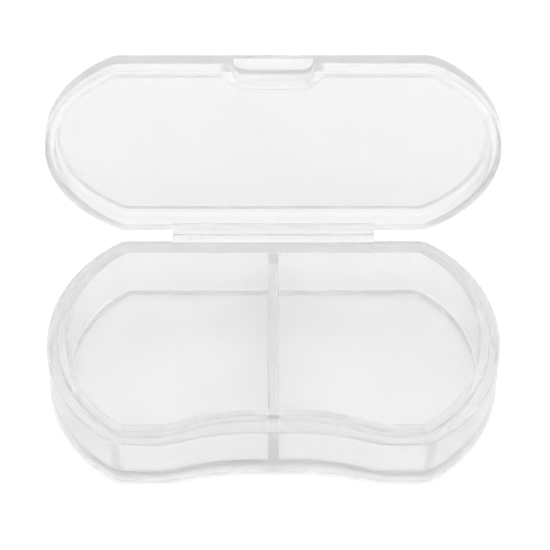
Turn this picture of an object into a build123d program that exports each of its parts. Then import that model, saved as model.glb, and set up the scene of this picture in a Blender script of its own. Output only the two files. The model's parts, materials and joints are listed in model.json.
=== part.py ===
from build123d import *
import os
from math import asin, atan2, cos, pi, sin, sqrt

# A pocket pill case: a waisted two-compartment tray and a lid on a living hinge.
# Frame: origin on the table under the middle of the tray, +X along the case, +Y towards the hinge, +Z up.
# All sizes are in millimetres. The lid stands open at a right angle.

# Plan of the case
CASE_LENGTH = 65.0
CASE_DEPTH = 36.0
END_RADIUS = 20.8        # round ends
CORNER_RADIUS = 4.2      # where a round end runs into the straight front or back
WAIST_FLAT = 3.0         # half-length of the waist's straight bottom
WAIST_TURN = 13.6        # where the hollow arc meets the crown arc
WAIST_END = 16.3         # half-length of the whole waist

# Tray
TRAY_HEIGHT = 10.0       # table to ledge, the parting plane
FLOOR_THICKNESS = 0.75
FLOOR_EDGE_RADIUS = 0.6  # rounded lower edge
FOOT_INSET = 0.1         # draft of the outer wall at the floor
WAIST_TOP = 2.1          # waist depth at the ledge
WAIST_FOOT = 1.6         # waist depth at the floor: the finger hollow leans
LEDGE_WIDTH = 1.55       # the lid's skirt sits on it
LIP_THICKNESS = 1.3
LIP_HEIGHT = 0.9
LIP_EDGE_RADIUS = 0.25
LIP_WAIST_OUTER = 2.75
LIP_WAIST_INNER = 2.5
WALL_FOOT_INSET = 3.15   # inner wall at the floor
INNER_WAIST_FOOT = 2.0
COVE_RADIUS = 0.55       # inside, where wall meets floor
DIVIDER_THICKNESS = 1.5
DIVIDER_DROP = 0.3       # top of the divider below the top of the lip

# Lid
LID_HEIGHT = 3.6
PANEL_THICKNESS = 0.95
PANEL_EDGE_RADIUS = 0.85
SKIRT_THICKNESS = 1.4
LID_COVE_RADIUS = 0.8
RECESS_HALF = 5.6        # thumb recess in the middle of the front edge
RECESS_DEPTH = 2.8
RECESS_RADIUS = 2.0
TAB_HALF = 6.9           # wall that carries the skirt around the recess
TAB_DEPTH = 4.1
TAB_RADIUS = 3.3

# Catch
CATCH_HALF = 3.0         # half-length of the two ridges
CATCH_RADIUS = 0.3
CATCH_PROUD = 0.08

# Living hinge
HINGE_LENGTH = 29.6
HINGE_OFFSET = 1.0       # fold axis behind the back edge
LEAF_THICKNESS = 0.9
LEAF_TAPER = 0.45        # length over which a leaf thins towards the fold
LEAF_TIP = 0.25
WEB_RADIUS = 0.2
WEB_CLEARANCE = 0.03     # lid leaf to web
LID_OPEN_DEG = 90.0

CAVITY_TOP = TRAY_HEIGHT + LIP_HEIGHT
LIP_INSET = LEDGE_WIDTH + LIP_THICKNESS
AXIS_Y = CASE_DEPTH / 2 + HINGE_OFFSET
LID_CAVITY_HEIGHT = LID_HEIGHT - PANEL_THICKNESS


def arc_by_angles(centre, radius, start, end):
    """Arc about centre from angle start to angle end, both in radians."""
    points = [
        (centre[0] + radius * cos(angle), centre[1] + radius * sin(angle))
        for angle in (start, (start + end) / 2, end)
    ]
    return ThreePointArc(*points)


def waist_edges(front, depth):
    """Right half of the front edge: out from the middle, round the waist's S, to the waist's end."""
    run = WAIST_END - WAIST_FLAT
    both_radii = (run**2 + depth**2) / (2 * depth)
    sweep = asin(run / both_radii)
    hollow_radius = both_radii * (WAIST_TURN - WAIST_FLAT) / run
    crown_radius = both_radii - hollow_radius
    hollow = (WAIST_FLAT, front + depth - hollow_radius)
    crown = (WAIST_END, front + crown_radius)
    return [
        Line((0, front + depth), (WAIST_FLAT, front + depth)),
        arc_by_angles(hollow, hollow_radius, pi / 2, pi / 2 - sweep),
        arc_by_angles(crown, crown_radius, 1.5 * pi - sweep, 1.5 * pi),
    ]


def outline(inset=0.0, waist=0.0):
    """Plan of the case moved inwards by inset, with its front hollowed by waist."""
    end_x = CASE_LENGTH / 2 - END_RADIUS
    half = CASE_DEPTH / 2 - inset
    corner_y = CASE_DEPTH / 2 - CORNER_RADIUS
    corner_x = end_x + sqrt((END_RADIUS - CORNER_RADIUS) ** 2 - corner_y**2)
    turn = atan2(corner_y, corner_x - end_x)
    corner = CORNER_RADIUS - inset
    right = [
        arc_by_angles((corner_x, -corner_y), corner, -pi / 2, -turn),
        arc_by_angles((end_x, 0), END_RADIUS - inset, -turn, turn),
        arc_by_angles((corner_x, corner_y), corner, turn, pi / 2),
        Line((corner_x, half), (0, half)),
    ]
    if waist:
        right += waist_edges(-half, waist)
        right.append(Line((WAIST_END, -half), (corner_x, -half)))
    else:
        right.append(Line((0, -half), (corner_x, -half)))
    left = [edge.mirror(Plane.YZ) for edge in right]
    return Face(Wire(right + left))


def front_bay(half_width, depth, radius):
    """Plan of a U-shaped bay that opens through the straight front edge."""
    front = -CASE_DEPTH / 2
    bay = Pos(0, front) * Rectangle(2 * half_width, 2 * depth)
    return fillet(bay.vertices().group_by(Axis.Y)[-1], radius)


def tray_cavity():
    """The space inside the walls, from the floor to the top of the lip."""
    foot = Pos(0, 0, FLOOR_THICKNESS) * outline(WALL_FOOT_INSET, INNER_WAIST_FOOT)
    mouth = Pos(0, 0, CAVITY_TOP) * outline(LIP_INSET, LIP_WAIST_INNER)
    cavity = loft([foot, mouth], ruled=True)
    return fillet(cavity.faces().sort_by(Axis.Z)[0].edges(), COVE_RADIUS)


def tray_floor():
    plate = extrude(outline(FOOT_INSET, WAIST_FOOT), FLOOR_THICKNESS)
    return fillet(plate.faces().sort_by(Axis.Z)[0].edges(), FLOOR_EDGE_RADIUS)


def tray_wall(cavity):
    foot = Pos(0, 0, FLOOR_THICKNESS) * outline(FOOT_INSET, WAIST_FOOT)
    ledge = Pos(0, 0, TRAY_HEIGHT) * outline(0, WAIST_TOP)
    return loft([foot, ledge], ruled=True) - cavity


def closure_lip(cavity):
    ring = extrude(Pos(0, 0, TRAY_HEIGHT) * outline(LEDGE_WIDTH, LIP_WAIST_OUTER), LIP_HEIGHT)
    ring = fillet(ring.faces().sort_by(Axis.Z)[-1].edges(), LIP_EDGE_RADIUS)
    return ring - cavity


def divider(cavity):
    height = CAVITY_TOP - DIVIDER_DROP - FLOOR_THICKNESS
    middle = FLOOR_THICKNESS + height / 2
    return (Pos(0, 0, middle) * Box(DIVIDER_THICKNESS, CASE_DEPTH, height)) & cavity


def ridge(face_y, height, towards):
    """A low half-round ridge along X on a wall's face, standing proud by CATCH_PROUD towards +Y or -Y."""
    centre_y = face_y - towards * (CATCH_RADIUS - CATCH_PROUD)
    rod = Pos(0, centre_y, height) * Rot(0, 90, 0) * Cylinder(CATCH_RADIUS, 2 * CATCH_HALF)
    air = Pos(0, face_y + towards * CATCH_RADIUS, height) * Box(CASE_LENGTH, 2 * CATCH_RADIUS, LID_HEIGHT)
    return rod & air


def hinge_leaf(clearance):
    """Tray-side leaf: flush with the ledge plane, thinning towards the fold, hollowed around the web."""
    back = CASE_DEPTH / 2
    section = Polyline(
        (back, TRAY_HEIGHT),
        (AXIS_Y, TRAY_HEIGHT),
        (AXIS_Y, TRAY_HEIGHT - LEAF_TIP),
        (AXIS_Y - LEAF_TAPER, TRAY_HEIGHT - LEAF_THICKNESS),
        (back, TRAY_HEIGHT - LEAF_THICKNESS),
        close=True,
    )
    leaf = extrude(Plane.YZ * make_face(section), HINGE_LENGTH / 2, both=True)
    return leaf - hinge_rod(WEB_RADIUS + clearance)


def hinge_rod(radius):
    return Pos(0, AXIS_Y, TRAY_HEIGHT) * Rot(0, 90, 0) * Cylinder(radius, HINGE_LENGTH)


def lid_panel():
    plate = extrude(Pos(0, 0, LID_CAVITY_HEIGHT) * outline(), PANEL_THICKNESS)
    return fillet(plate.faces().sort_by(Axis.Z)[-1].edges(), PANEL_EDGE_RADIUS)


def lid_skirt():
    tab = front_bay(TAB_HALF, TAB_DEPTH, TAB_RADIUS)
    recess = front_bay(RECESS_HALF, RECESS_DEPTH, RECESS_RADIUS)
    cavity = extrude(outline(SKIRT_THICKNESS) - tab, LID_CAVITY_HEIGHT)
    cavity = fillet(cavity.faces().sort_by(Axis.Z)[-1].edges(), LID_COVE_RADIUS)
    return extrude(outline() - recess, LID_CAVITY_HEIGHT) - cavity


def open_lid(shape):
    """Puts a lid piece, made over the parting plane, in place at the lid's open angle."""
    hinge_axis = Axis((0, AXIS_Y, TRAY_HEIGHT), (-1, 0, 0))
    return (Pos(0, 0, TRAY_HEIGHT) * shape).rotate(hinge_axis, LID_OPEN_DEG)


def model():
    cavity = tray_cavity()
    lip_front = LEDGE_WIDTH + LIP_WAIST_OUTER - CASE_DEPTH / 2
    tab_back = TAB_DEPTH - CASE_DEPTH / 2
    lid_leaf = Pos(0, 0, -TRAY_HEIGHT) * mirror(hinge_leaf(WEB_CLEARANCE), Plane.XY.offset(TRAY_HEIGHT))
    return {
        "tray_floor": tray_floor(),
        "tray_wall": tray_wall(cavity),
        "closure_lip": closure_lip(cavity),
        "divider": divider(cavity),
        "catch_bead": ridge(lip_front, TRAY_HEIGHT + LIP_HEIGHT - CATCH_RADIUS - LIP_EDGE_RADIUS, -1),
        "tray_hinge_leaf": hinge_leaf(0),
        "hinge_web": hinge_rod(WEB_RADIUS),
        "lid_panel": open_lid(lid_panel()),
        "lid_skirt": open_lid(lid_skirt()),
        "lid_hinge_leaf": open_lid(lid_leaf),
        "catch_nib": open_lid(ridge(tab_back, CATCH_RADIUS, 1)),
    }


os.makedirs("parts", exist_ok=True)
for node, shape in model().items():
    export_step(shape, f"parts/{node}.step")
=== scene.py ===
import json
from math import asin, atan2, cos, pi, radians, sin, sqrt

import bmesh
import bpy
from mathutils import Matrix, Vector


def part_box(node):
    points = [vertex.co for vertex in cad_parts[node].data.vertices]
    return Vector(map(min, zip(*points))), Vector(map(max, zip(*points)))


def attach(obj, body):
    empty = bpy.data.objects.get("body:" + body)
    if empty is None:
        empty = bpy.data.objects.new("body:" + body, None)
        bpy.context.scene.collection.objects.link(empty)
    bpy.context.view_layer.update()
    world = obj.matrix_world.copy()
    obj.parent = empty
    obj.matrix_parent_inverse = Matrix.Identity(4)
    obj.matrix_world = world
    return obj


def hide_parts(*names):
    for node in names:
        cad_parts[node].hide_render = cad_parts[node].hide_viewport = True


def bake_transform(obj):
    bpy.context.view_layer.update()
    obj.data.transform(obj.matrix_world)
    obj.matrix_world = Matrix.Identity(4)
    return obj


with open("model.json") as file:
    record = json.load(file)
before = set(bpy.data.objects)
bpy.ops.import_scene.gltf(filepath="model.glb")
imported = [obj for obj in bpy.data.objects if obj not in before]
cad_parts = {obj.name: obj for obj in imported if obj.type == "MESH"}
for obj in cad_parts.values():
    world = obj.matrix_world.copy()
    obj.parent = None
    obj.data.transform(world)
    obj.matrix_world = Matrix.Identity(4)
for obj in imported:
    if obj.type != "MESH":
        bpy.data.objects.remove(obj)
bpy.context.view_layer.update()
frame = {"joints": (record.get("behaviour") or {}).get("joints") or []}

MM = 0.001


def span(node):
    """Lowest and highest corner of a CAD node in millimetres."""
    low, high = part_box(node)
    return low / MM, high / MM


# Sizes of the frame. All lengths are in millimetres unless a comment says otherwise.
floor_high = span("tray_floor")[1]
wall_low, wall_high = span("tray_wall")
lip_high = span("closure_lip")[1]
divider_low, divider_high = span("divider")
leaf_low, leaf_high = span("tray_hinge_leaf")
panel_low, panel_high = span("lid_panel")
bead_low, bead_high = span("catch_bead")
AXIS = Vector(frame["joints"][0]["pos_m"]) / MM

LENGTH = wall_high.x - wall_low.x
DEPTH = wall_high.y - wall_low.y
LEDGE_Z = wall_high.z
LIP_Z = lip_high.z
FLOOR_Z = floor_high.z
LEDGE = wall_high.x - lip_high.x
LID_TOP = panel_high.y - AXIS.y
LID_CEILING = panel_low.y - AXIS.y

# Plan
END_RADIUS = 20.8
CORNER_RADIUS = 4.2
WAIST_FLAT = 3.0
WAIST_TURN = 13.6
WAIST_END = 16.3
END_X = LENGTH / 2 - END_RADIUS
CORNER_Y = DEPTH / 2 - CORNER_RADIUS
CORNER_X = END_X + sqrt((END_RADIUS - CORNER_RADIUS) ** 2 - CORNER_Y**2)
TURN = atan2(CORNER_Y, CORNER_X - END_X)

# Tray
FOOT_INSET = 0.1         # draft of the outer wall at the floor
WAIST_FOOT = 1.6
WAIST_TOP = 2.1
LIP_WIDTH = 1.3
LIP_WAIST_OUTER = 2.75
LIP_WAIST_INNER = 2.5
INNER_FOOT = 3.15        # inner wall at the floor
INNER_WAIST_FOOT = 2.0
FOOT_ROUND = 0.6         # lower outer edge
LEDGE_ROUND = 0.35       # outer edge of the ledge
LIP_ROOT = 0.1           # where the lip meets the ledge
LIP_ROUND_OUTER = 0.25
LIP_ROUND_INNER = 0.2
FLOOR_COVE = 0.6         # inside, where wall meets floor
FLOOR_COVE_BULGE = 0.5
UNDERSIDE_RING = 2.0     # from the edge to where the one flat face begins
FLOOR_RING = 0.8

# Divider. Its thickness is a share of the frame's, and it is sunk into floor and wall.
DIVIDER_FOOT = 1.06
DIVIDER_TOP = 0.97
DIVIDER_ROUND = 0.25
DIVIDER_SINK_FLOOR = 0.3
DIVIDER_SINK_WALL = 0.2

# Lid. The recess and the tab behind it are U-shaped bays about the same corner centres.
SKIRT = 1.4
BAY_X = 3.6
BAY_Y = -17.2
RECESS_RADIUS = 2.0
RECESS_MOUTH = 0.5       # rounding where the bay opens in the front edge
RECESS_CORNER = 0.1      # where the recess meets the panel
TAB_RADIUS = 3.3
TAB_MOUTH = 1.3
LID_COVE = 1.1           # inside, where skirt meets panel
LID_COVE_BULGE = 0.5
LID_COVE_TAB_SHARE = 0.3  # width of the cove along the tab
RIM_ROUND = 0.12
PANEL_ROUND = 1.1
SEAT_GAP = 0.02          # keeps the skirt clear of the ledge

# Catch
RIDGE = 0.3
RIDGE_PROUD = 0.08
RIDGE_ENDS = ((0, 0.12), (0.15, 0.24), (0.4, RIDGE))  # distance from the end, radius

# Hinge
LEAF_TIP = 0.25
LEAF_TAPER = 0.45
LEAF_SINK = 0.5          # how far a leaf runs into its wall
FILM_GAP = 0.01          # keeps the film clear of both leaves

# Fineness of the meshes
CORNER_STEPS = 10
END_STEPS = 64
BACK_STEPS = 12
WAIST_STEPS = (3, 24, 12, 3)  # flat, hollow, crown, straight front
BAY_FLAT_STEPS = 4
BAY_BEND_STEPS = 12
BAY_MOUTH_STEPS = 6
BAY_STEPS = BAY_FLAT_STEPS + BAY_BEND_STEPS + BAY_MOUTH_STEPS
FRONT_STEPS = 6
ROUND_STEPS = 8
RIM_STEPS = 4
RIDGE_STEPS = 24
WELD = 1e-5
SHARP_ANGLE = 17         # degrees

# Plastic
PLASTIC_IOR = 1.49
CLOUD_SCALE = 140
CLOUD_DETAIL = 5
CLOUD_STOPS = (0.3, 0.7)
ROUGHNESS = (0.18, 0.27)
RIPPLE_SCALE = 900
RIPPLE_DETAIL = 3
RIPPLE_STRENGTH = 0.08
RIPPLE_HEIGHT = 0.00004  # metres
ABSORPTION = 10          # per metre

# Floor, in metres
FLOOR_SIZE = 6
FLOOR_DROP = 0.00005     # keeps it clear of the tray's underside
FLOOR_GREY = 0.96
FLOOR_ROUGHNESS = 0.9

# Camera. FOCAL and AIM_OFF are in parts of a view that is VIEW_WIDTH wide.
ELEVATION = radians(54.43)
DISTANCE = 461.05
VIEW_WIDTH = 550
FOCAL = 3213
AIM_OFF_X = 2.79
AIM_OFF_Y = 64.88
SENSOR = 36
CLIP_START = 0.01        # metres

# Light
BRIGHT_SIDE = (0.6, 0.8, 0)
HORIZON = (0.42, 0.95)   # strength on the dim side and on the bright side
ZENITH = 1.4
RISE_POWER = 0.9

TRAY_NODES = ("tray_floor", "tray_wall", "closure_lip", "divider", "catch_bead", "tray_hinge_leaf")
LID_NODES = ("lid_panel", "lid_skirt", "lid_hinge_leaf", "catch_nib")


def arc(centre, radius, start, end, steps):
    """Points on an arc from angle start to angle end, without the first."""
    angles = [start + (end - start) * k / steps for k in range(1, steps + 1)]
    return [(centre[0] + radius * cos(a), centre[1] + radius * sin(a)) for a in angles]


def steps_between(start, end, steps):
    """Points on a straight run from start to end, without the first."""
    run = (end[0] - start[0], end[1] - start[1])
    return [
        (start[0] + run[0] * k / steps, start[1] + run[1] * k / steps)
        for k in range(1, steps + 1)
    ]


def waist_depth(x, depth):
    """How far the waist, a long hollow arc and a short crown arc, takes the front back at x."""
    if depth == 0 or x >= WAIST_END:
        return 0.0
    if x <= WAIST_FLAT:
        return depth
    run = WAIST_END - WAIST_FLAT
    both_radii = (run**2 + depth**2) / (2 * depth)
    hollow = both_radii * (WAIST_TURN - WAIST_FLAT) / run
    crown = both_radii - hollow
    if x < WAIST_TURN:
        return depth - hollow + sqrt(hollow**2 - (x - WAIST_FLAT) ** 2)
    return crown - sqrt(crown**2 - (WAIST_END - x) ** 2)


def round_end(inset):
    """From the end of the straight front, round the end of the case, to the middle of the back."""
    half = DEPTH / 2 - inset
    corner = CORNER_RADIUS - inset
    points = arc((CORNER_X, -CORNER_Y), corner, -pi / 2, -TURN, CORNER_STEPS)
    points += arc((END_X, 0), END_RADIUS - inset, -TURN, TURN, END_STEPS)
    points += arc((CORNER_X, CORNER_Y), corner, TURN, pi / 2, CORNER_STEPS)
    return points + steps_between((CORNER_X, half), (0, half), BACK_STEPS)


def whole(right):
    """Closes the right half of an outline with its mirror image."""
    return right + [(-x, y) for x, y in reversed(right[1:-1])]


def waisted(inset, waist):
    """Outline of the case moved inwards by inset, with its front taken back by waist."""
    front = -DEPTH / 2 + inset
    stops = (0, WAIST_FLAT, WAIST_TURN, WAIST_END, CORNER_X)
    xs = []
    for start, stop, steps in zip(stops, stops[1:], WAIST_STEPS):
        xs += [start + (stop - start) * k / steps for k in range(steps)]
    xs.append(CORNER_X)
    return whole([(x, front + waist_depth(x, waist)) for x in xs] + round_end(inset))


def bayed(inset, radius, mouth):
    """Outline with a U-shaped bay in the front edge, which mouth rounds where the bay opens."""
    front = -DEPTH / 2 + inset
    drop = front + mouth - BAY_Y
    reach = sqrt((radius + mouth) ** 2 - drop**2)
    tilt = atan2(drop, reach)
    top = BAY_Y + radius
    right = [(0, top)] + steps_between((0, top), (BAY_X, top), BAY_FLAT_STEPS)
    right += arc((BAY_X, BAY_Y), radius, pi / 2, tilt, BAY_BEND_STEPS)
    right += arc((BAY_X + reach, front + mouth), mouth, pi + tilt, 1.5 * pi, BAY_MOUTH_STEPS)
    right += steps_between((BAY_X + reach, front), (CORNER_X, front), FRONT_STEPS)
    return whole(right + round_end(inset))


def unbayed(inset, mouth_x):
    """Outline with a straight front edge, point for point like bayed()."""
    front = -DEPTH / 2 + inset
    right = [(0, front)] + steps_between((0, front), (mouth_x, front), BAY_STEPS)
    right += steps_between((mouth_x, front), (CORNER_X, front), FRONT_STEPS)
    return whole(right + round_end(inset))


def rounded(corners):
    """A profile of (inset, waist, z) through corners (inset, waist, z, radius, bulge).

    Each corner with a radius is rounded. A bulge below 1 flattens the rounding, which leaves a
    crease at both of its ends.
    """
    path = []
    for i, (inset, waist, z, radius, bulge) in enumerate(corners):
        here = Vector((inset, waist, z))
        if radius == 0 or i in (0, len(corners) - 1):
            path.append(here)
            continue
        before = Vector(corners[i - 1][:3]) - here
        after = Vector(corners[i + 1][:3]) - here
        flat_before = Vector((before.x, before.z))
        flat_after = Vector((after.x, after.z))
        opening = flat_before.angle(flat_after)
        tangent = radius / sin(opening / 2) * cos(opening / 2)
        first = here + before * (tangent / flat_before.length)
        last = here + after * (tangent / flat_after.length)
        middle = (flat_before.normalized() + flat_after.normalized()).normalized()
        centre = Vector((here.x, here.z)) + middle * (radius / sin(opening / 2))
        start = Vector((first.x, first.z)) - centre
        end = Vector((last.x, last.z)) - centre
        turn = start.angle(end)
        for k in range(ROUND_STEPS + 1):
            share = k / ROUND_STEPS
            round_way = (start * sin((1 - share) * turn) + end * sin(share * turn)) / sin(turn)
            way = start.lerp(end, share).lerp(round_way, bulge)
            depth = first.y + (last.y - first.y) * share
            path.append(Vector((centre.x + way.x, depth, centre.y + way.y)))
    return path


def loft(name, rings, place=Vector):
    """A closed mesh through rings of points, with a flat face at both ends."""
    mesh = bmesh.new()
    rows = [[mesh.verts.new(place(Vector(p))) for p in ring] for ring in rings]
    for lower, upper in zip(rows, rows[1:]):
        for k in range(len(lower)):
            n = (k + 1) % len(lower)
            mesh.faces.new((lower[k], lower[n], upper[n], upper[k]))
    mesh.faces.new(rows[0])
    mesh.faces.new(rows[-1])
    bmesh.ops.remove_doubles(mesh, verts=mesh.verts, dist=WELD)
    bmesh.ops.recalc_face_normals(mesh, faces=mesh.faces)
    return finished(name, mesh)


def finished(name, mesh):
    """Makes a Blender object, in metres, of a bmesh in millimetres."""
    bmesh.ops.scale(mesh, vec=(MM, MM, MM), verts=mesh.verts)
    data = bpy.data.meshes.new(name)
    mesh.to_mesh(data)
    mesh.free()
    piece = bpy.data.objects.new(name, data)
    bpy.context.scene.collection.objects.link(piece)
    return piece


def applied(piece):
    """Bakes a piece's modifiers into its mesh."""
    graph = bpy.context.evaluated_depsgraph_get()
    data = bpy.data.meshes.new_from_object(piece.evaluated_get(graph), depsgraph=graph)
    piece.modifiers.clear()
    piece.data = data
    return piece


def fuse(piece, other):
    """Joins other to piece as one solid."""
    union = piece.modifiers.new("fuse", "BOOLEAN")
    union.operation = "UNION"
    union.solver = "MANIFOLD"
    union.object = other
    applied(piece)
    bpy.data.objects.remove(other)


def smooth(piece):
    """Shades a piece smooth between its sharp edges, with flat faces kept flat."""
    piece.data.polygons.foreach_set("use_smooth", [True] * len(piece.data.polygons))
    piece.data.set_sharp_from_angle(angle=radians(SHARP_ANGLE))
    weighted = piece.modifiers.new("flat faces", "WEIGHTED_NORMAL")
    weighted.keep_sharp = True
    weighted.weight = 100
    return applied(piece)


def prism(name, section, low, high, place=Vector):
    """A section in the YZ plane carried along X from low to high."""
    return loft(name, [[(x, y, z) for y, z in section] for x in (low, high)], place)


def ridge(name, y, z, place=Vector):
    """A low catch ridge along X: a rod sunk in a wall, thinner at its ends."""
    half = (bead_high.x - bead_low.x) / 2
    ends = [(-half + distance, radius) for distance, radius in RIDGE_ENDS]
    ends += [(-x, radius) for x, radius in reversed(ends)]
    rings = [[(x, *p) for p in arc((y, z), radius, 0, 2 * pi, RIDGE_STEPS)] for x, radius in ends]
    return loft(name, rings, place)


def opened(point):
    """From the lid's own frame, shut over the parting plane, to its place at the open angle."""
    return Vector((point.x, AXIS.y + point.z, AXIS.z + AXIS.y - point.y))


def divider_wall():
    half = (divider_high.x - divider_low.x) / 2
    shoulder = divider_high.z - DIVIDER_ROUND
    section = [(half * DIVIDER_FOOT, FLOOR_Z - DIVIDER_SINK_FLOOR), (half * DIVIDER_TOP, shoulder)]
    centre = (half * DIVIDER_TOP - DIVIDER_ROUND, shoulder)
    section += arc(centre, DIVIDER_ROUND, 0, pi / 2, ROUND_STEPS)
    section += [(-x, z) for x, z in reversed(section)]
    ends = (divider_low.y - DIVIDER_SINK_WALL, divider_high.y + DIVIDER_SINK_WALL)
    return loft("divider_wall", [[(x, y, z) for x, z in section] for y in ends])


def tray_shell():
    """The tray as one solid: a profile carried round the outline, with divider, leaf and bead."""
    profile = rounded([
        (FOOT_INSET + UNDERSIDE_RING, WAIST_FOOT, 0, 0, 1),
        (FOOT_INSET, WAIST_FOOT, 0, FOOT_ROUND, 1),
        (0, WAIST_TOP, LEDGE_Z, LEDGE_ROUND, 1),
        (LEDGE, LIP_WAIST_OUTER, LEDGE_Z, LIP_ROOT, 1),
        (LEDGE, LIP_WAIST_OUTER, LIP_Z, LIP_ROUND_OUTER, 1),
        (LEDGE + LIP_WIDTH, LIP_WAIST_INNER, LIP_Z, LIP_ROUND_INNER, 1),
        (INNER_FOOT, INNER_WAIST_FOOT, FLOOR_Z, FLOOR_COVE, FLOOR_COVE_BULGE),
        (INNER_FOOT + FLOOR_RING, INNER_WAIST_FOOT, FLOOR_Z, 0, 1),
    ])
    rings = [[(x, y, z) for x, y in waisted(inset, waist)] for inset, waist, z in profile]
    tray = loft("tray_shell", rings)
    fuse(tray, divider_wall())
    root = leaf_low.y - LEAF_SINK
    tip = leaf_high.y
    leaf = [
        (root, LEDGE_Z),
        (tip, LEDGE_Z),
        (tip, LEDGE_Z - LEAF_TIP),
        (tip - LEAF_TAPER, leaf_low.z),
        (root, leaf_low.z),
    ]
    fuse(tray, prism("leaf", leaf, leaf_low.x, leaf_high.x))
    fuse(tray, ridge("bead", bead_low.y + RIDGE, (bead_low.z + bead_high.z) / 2))
    return smooth(tray)


def lid_shell():
    """The lid as one solid: rings from the cove inside, over the rim, to the outer face."""
    rings = []

    def add(outline, z):
        rings.append([(x, y, z) for x, y in outline])

    for k in range(ROUND_STEPS + 1):
        share = 1 - k / ROUND_STEPS
        angle = pi / 2 * share
        inset = LID_COVE * (LID_COVE_BULGE * (1 - cos(angle)) + (1 - LID_COVE_BULGE) * share)
        rise = LID_COVE * (LID_COVE_BULGE * sin(angle) + (1 - LID_COVE_BULGE) * share)
        tab = bayed(SKIRT + inset, TAB_RADIUS + inset * LID_COVE_TAB_SHARE, TAB_MOUTH - inset)
        add(tab, LID_CEILING - LID_COVE + rise)
    for k in range(RIM_STEPS + 1):
        angle = pi / 2 * k / RIM_STEPS
        inset = -RIM_ROUND * (1 - cos(angle))
        tab = bayed(SKIRT + inset, TAB_RADIUS + inset, TAB_MOUTH - inset)
        add(tab, SEAT_GAP + RIM_ROUND * (1 - sin(angle)))
    for k in range(RIM_STEPS + 1):
        angle = pi / 2 * k / RIM_STEPS
        inset = RIM_ROUND * (1 - sin(angle))
        recess = bayed(inset, RECESS_RADIUS + inset, RECESS_MOUTH)
        add(recess, SEAT_GAP + RIM_ROUND * (1 - cos(angle)))
    shoulder = LID_TOP - PANEL_ROUND
    for k in range(ROUND_STEPS + 1):
        angle = pi / 2 * k / ROUND_STEPS
        z = LID_CEILING - RECESS_CORNER + RECESS_CORNER * sin(angle)
        inset = PANEL_ROUND - sqrt(PANEL_ROUND**2 - max(0, z - shoulder) ** 2)
        radius = RECESS_RADIUS - RECESS_CORNER * (1 - cos(angle))
        add(bayed(inset, radius, RECESS_MOUTH), z)
    first = asin((LID_CEILING - shoulder) / PANEL_ROUND)
    mouth_x = bayed(0, RECESS_RADIUS - RECESS_CORNER, RECESS_MOUTH)[BAY_STEPS][0]
    for k in range(ROUND_STEPS + 1):
        angle = first + (pi / 2 - first) * k / ROUND_STEPS
        z = shoulder + PANEL_ROUND * sin(angle)
        add(unbayed(PANEL_ROUND * (1 - cos(angle)), mouth_x), z)
    lid = loft("lid_shell", rings, opened)
    root = DEPTH / 2 - LEAF_SINK
    tip = leaf_high.y
    thick = leaf_high.z - leaf_low.z
    leaf = [
        (root, SEAT_GAP),
        (root, thick),
        (tip - LEAF_TAPER, thick),
        (tip, LEAF_TIP),
        (tip, SEAT_GAP),
    ]
    fuse(lid, prism("leaf", leaf, leaf_low.x, leaf_high.x, opened))
    tab_face = BAY_Y + TAB_RADIUS + RIDGE_PROUD
    fuse(lid, ridge("nib", tab_face - RIDGE, RIDGE + SEAT_GAP, opened))
    return smooth(lid)


def hinge_film():
    """The hinge film: a quarter round behind the fold, from the tray's leaf to the lid's."""
    corner = (AXIS.y + FILM_GAP, AXIS.z - FILM_GAP)
    section = [corner, (corner[0], corner[1] - LEAF_TIP + FILM_GAP)]
    section += arc(corner, LEAF_TIP - FILM_GAP, -pi / 2, 0, ROUND_STEPS)
    return smooth(prism("hinge_film", section, leaf_low.x, leaf_high.x))


def polypropylene(name, deep, pale, haze, clear):
    """Frosted polypropylene.

    It is clouded from deep to pale, haze is the share of its surface that is matt, and clear is
    the colour of its absorption, where 1 absorbs nothing.
    """
    material = bpy.data.materials.new(name)
    material.use_nodes = True
    tree = material.node_tree
    shader = tree.nodes["Principled BSDF"]
    shader.inputs["IOR"].default_value = PLASTIC_IOR
    shader.inputs["Transmission Weight"].default_value = 1 - haze
    place = tree.nodes.new("ShaderNodeTexCoord")
    cloud = tree.nodes.new("ShaderNodeTexNoise")
    cloud.inputs["Scale"].default_value = CLOUD_SCALE
    cloud.inputs["Detail"].default_value = CLOUD_DETAIL
    tree.links.new(place.outputs["Object"], cloud.inputs["Vector"])
    tint = tree.nodes.new("ShaderNodeValToRGB")
    for element, position, grey in zip(tint.color_ramp.elements, CLOUD_STOPS, (deep, pale)):
        element.position = position
        element.color = (grey, grey, grey, 1)
    tree.links.new(cloud.outputs["Fac"], tint.inputs["Fac"])
    tree.links.new(tint.outputs["Color"], shader.inputs["Base Color"])
    matt = tree.nodes.new("ShaderNodeMapRange")
    matt.inputs["To Min"].default_value = ROUGHNESS[0]
    matt.inputs["To Max"].default_value = ROUGHNESS[1]
    tree.links.new(cloud.outputs["Fac"], matt.inputs["Value"])
    tree.links.new(matt.outputs["Result"], shader.inputs["Roughness"])
    ripple = tree.nodes.new("ShaderNodeTexNoise")
    ripple.inputs["Scale"].default_value = RIPPLE_SCALE
    ripple.inputs["Detail"].default_value = RIPPLE_DETAIL
    tree.links.new(place.outputs["Object"], ripple.inputs["Vector"])
    bump = tree.nodes.new("ShaderNodeBump")
    bump.inputs["Strength"].default_value = RIPPLE_STRENGTH
    bump.inputs["Distance"].default_value = RIPPLE_HEIGHT
    tree.links.new(ripple.outputs["Fac"], bump.inputs["Height"])
    tree.links.new(bump.outputs["Normal"], shader.inputs["Normal"])
    depth = tree.nodes.new("ShaderNodeVolumeAbsorption")
    depth.inputs["Color"].default_value = (clear, clear, clear, 1)
    depth.inputs["Density"].default_value = ABSORPTION
    tree.links.new(depth.outputs["Volume"], tree.nodes["Material Output"].inputs["Volume"])
    return material


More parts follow.
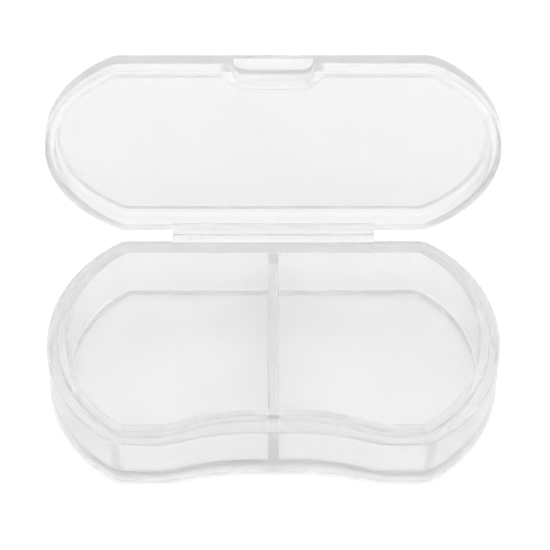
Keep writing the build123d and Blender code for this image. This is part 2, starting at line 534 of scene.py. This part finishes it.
def floor():
    bpy.ops.mesh.primitive_plane_add(size=FLOOR_SIZE, location=(0, 0, -FLOOR_DROP))
    ground = bpy.context.object
    ground.name = "floor"
    material = bpy.data.materials.new("pale_floor")
    material.use_nodes = True
    shader = material.node_tree.nodes["Principled BSDF"]
    shader.inputs["Base Color"].default_value = (FLOOR_GREY, FLOOR_GREY, FLOOR_GREY, 1)
    shader.inputs["Roughness"].default_value = FLOOR_ROUGHNESS
    shader.inputs["Specular IOR Level"].default_value = 0.0
    ground.data.materials.append(material)


def camera():
    """A long lens over the front, aimed a little off the middle of the ledge plane."""
    pitch = atan2(AIM_OFF_Y, FOCAL)
    yaw = atan2(AIM_OFF_X, FOCAL)
    eye = Vector((0, -DISTANCE * cos(ELEVATION), LEDGE_Z + DISTANCE * sin(ELEVATION)))
    data = bpy.data.cameras.new("camera")
    data.lens = FOCAL * SENSOR / VIEW_WIDTH
    data.sensor_width = SENSOR
    data.clip_start = CLIP_START
    view = bpy.data.objects.new("camera", data)
    view.location = eye * MM
    view.rotation_euler = (pi / 2 - ELEVATION + pitch, 0, -yaw)
    bpy.context.scene.collection.objects.link(view)
    bpy.context.scene.camera = view


def light():
    """A light tent: bright above, dimmer towards the horizon and dimmest at the front left."""
    world = bpy.data.worlds.new("studio")
    bpy.context.scene.world = world
    world.use_nodes = True
    tree = world.node_tree
    background = tree.nodes["Background"]
    background.inputs["Color"].default_value = (1, 1, 1, 1)
    place = tree.nodes.new("ShaderNodeTexCoord")
    split = tree.nodes.new("ShaderNodeSeparateXYZ")
    tree.links.new(place.outputs["Generated"], split.inputs["Vector"])
    towards = tree.nodes.new("ShaderNodeVectorMath")
    towards.operation = "DOT_PRODUCT"
    towards.inputs[1].default_value = BRIGHT_SIDE
    tree.links.new(place.outputs["Generated"], towards.inputs[0])
    side = tree.nodes.new("ShaderNodeMapRange")
    side.inputs["From Min"].default_value = -1
    side.inputs["To Min"].default_value = HORIZON[0]
    side.inputs["To Max"].default_value = HORIZON[1]
    tree.links.new(towards.outputs["Value"], side.inputs["Value"])
    rise = tree.nodes.new("ShaderNodeMath")
    rise.operation = "POWER"
    rise.use_clamp = True
    rise.inputs[1].default_value = RISE_POWER
    tree.links.new(split.outputs["Z"], rise.inputs[0])
    sky = tree.nodes.new("ShaderNodeMix")
    sky.inputs["B"].default_value = ZENITH
    tree.links.new(rise.outputs["Value"], sky.inputs["Factor"])
    tree.links.new(side.outputs["Result"], sky.inputs["A"])
    tree.links.new(sky.outputs["Result"], background.inputs["Strength"])


def bounces():
    """Lets light pass through all the walls that stand one behind another."""
    cycles = bpy.context.scene.cycles
    cycles.max_bounces = 32
    cycles.transmission_bounces = 32
    cycles.glossy_bounces = 16
    cycles.diffuse_bounces = 12
    cycles.blur_glossy = 0


bpy.context.scene.view_settings.view_transform = "Standard"
bounces()
tray_plastic = polypropylene("tray_polypropylene", deep=0.96, pale=0.98, haze=0.24, clear=0.5)
# The lid is the same plastic as the tray and the hinge film. Its greys are set darker than the
# tray's as painted shade, which darkens the lid beyond what the light through it gives.
lid_plastic_painted_shade = polypropylene("lid_polypropylene_painted_shade", deep=0.92, pale=0.94, haze=0.26, clear=0.9)
tray = tray_shell()
lid = lid_shell()
for piece, plastic, body, nodes in (
    (tray, tray_plastic, "tray", TRAY_NODES),
    (lid, lid_plastic_painted_shade, "lid", LID_NODES),
):
    piece.data.materials.clear()
    piece.data.materials.append(plastic)
    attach(piece, body)
    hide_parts(*nodes)
film = hinge_film()
film.data.materials.append(tray_plastic)
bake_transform(film)
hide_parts("hinge_web")

floor()
camera()
light()
